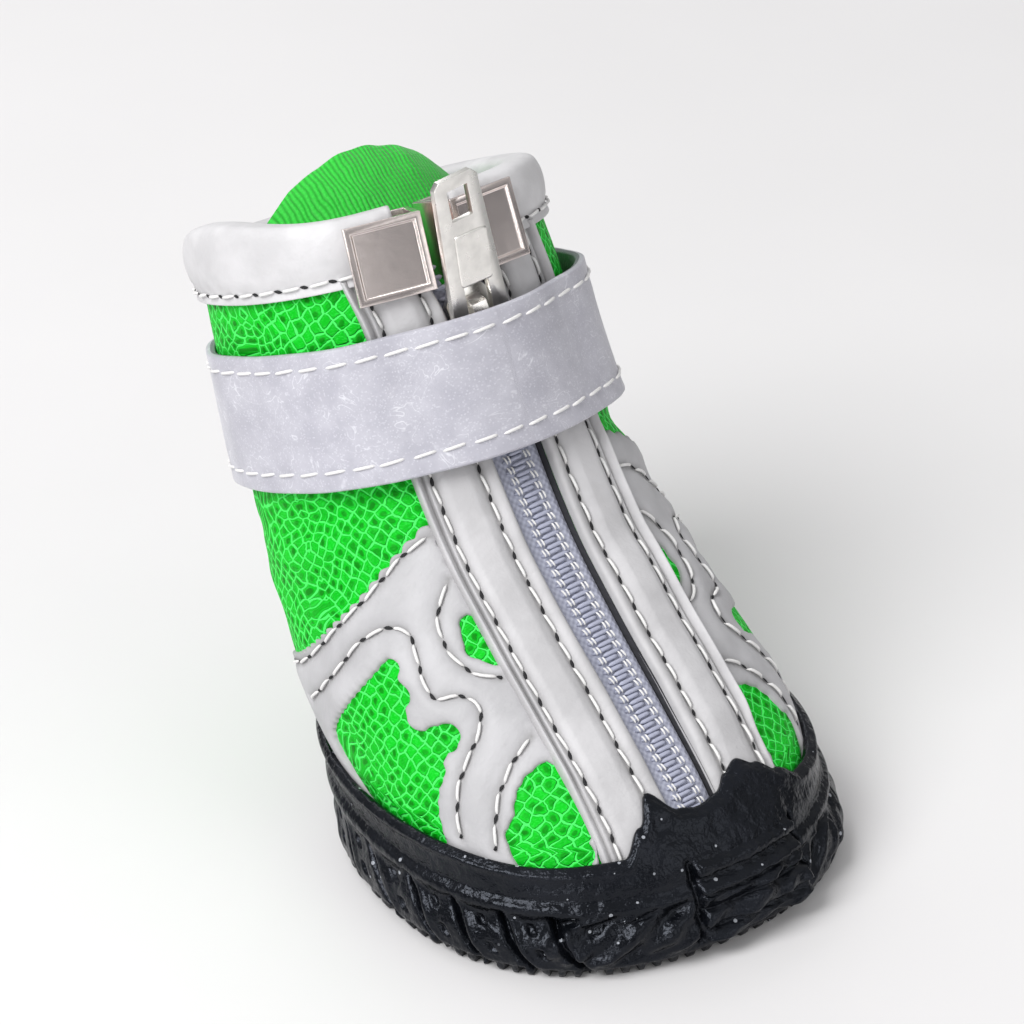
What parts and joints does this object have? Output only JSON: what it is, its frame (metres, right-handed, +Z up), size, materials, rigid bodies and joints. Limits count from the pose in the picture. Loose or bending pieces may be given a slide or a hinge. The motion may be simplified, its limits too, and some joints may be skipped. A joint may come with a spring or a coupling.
{
  "type": "zipped dog boot",
  "caption": "Ankle-high dog boot with a front zip, an ankle strap, a padded collar and a moulded cup sole.",
  "frame": {"origin": "middle of the sole's tread, on the ground plane", "axes": "-Y to the toe, +Y to the heel, +X to the boot's own left, +Z up"},
  "size_m": [0.055, 0.0901, 0.0808],
  "materials": {
    "rubber": "satin moulded rubber",
    "mesh": "open sandwich mesh with sewn overlays",
    "leatherette": "smooth coated leatherette",
    "lining": "flat woven lining",
    "knit": "ribbed knit",
    "reflective": "grey reflective webbing, edge stitched",
    "coil": "woven tape and moulded coil",
    "nickel": "bright nickel plate"
  },
  "bodies": {
    "boot": {"outsole": "rubber", "upper": "mesh", "collar_binding": "leatherette", "insole": "lining", "tongue": "knit", "strap": "reflective", "zip_chain": "coil", "zip_slider": "nickel", "end_clip_right": "nickel", "end_clip_left": "nickel"},
    "pull_tab": {"pull_tab": "nickel"}
  },
  "joints": [
    {"name": "pull_tab_swing", "type": "hinge", "parent": "boot", "child": "pull_tab", "pos_m": [0.0001, 0.01707, 0.06066], "axis": [0.9945, 0.0433, 0.0952], "range_deg": [-1, 12]}
  ]
}
